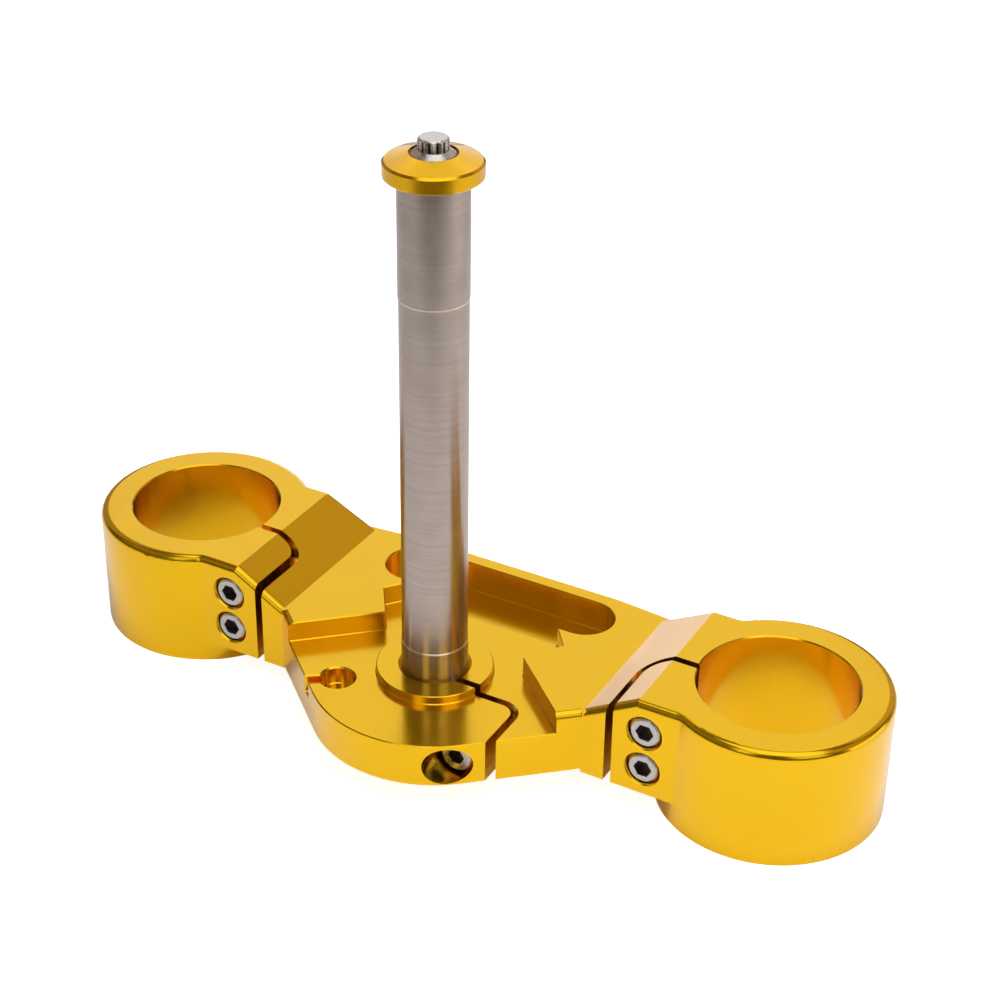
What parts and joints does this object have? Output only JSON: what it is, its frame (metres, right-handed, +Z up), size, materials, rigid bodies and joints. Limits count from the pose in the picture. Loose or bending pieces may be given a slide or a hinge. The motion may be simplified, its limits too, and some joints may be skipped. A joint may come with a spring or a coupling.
{
  "type": "motorcycle triple clamp",
  "caption": "Lower triple clamp with a split ring at each end for the fork tubes, a pinched steering stem, a top cap with its bolt, and pinch screws.",
  "frame": {"origin": "on the steering axis, at the raised face round the stem that carries the lower steering bearing", "axes": "+Z up the steering stem; +X towards the fork tube on the picture's right; +Y from the stem towards the line through both fork tubes"},
  "size_m": [0.34, 0.1217, 0.2444],
  "materials": {
    "yoke_gold": "gold anodised, satin",
    "cap_gold": "gold anodised, glossy",
    "stem_metal": "ground",
    "screw_steel": "polished"
  },
  "bodies": {
    "root": {"lower_yoke": "yoke_gold", "steering_stem": "stem_metal", "stem_top_cap": "cap_gold", "stem_top_bolt": "screw_steel", "stem_pinch_screw": "screw_steel", "right_upper_fork_screw": "screw_steel", "right_lower_fork_screw": "screw_steel", "left_upper_fork_screw": "screw_steel", "left_lower_fork_screw": "screw_steel"}
  },
  "joints": []
}
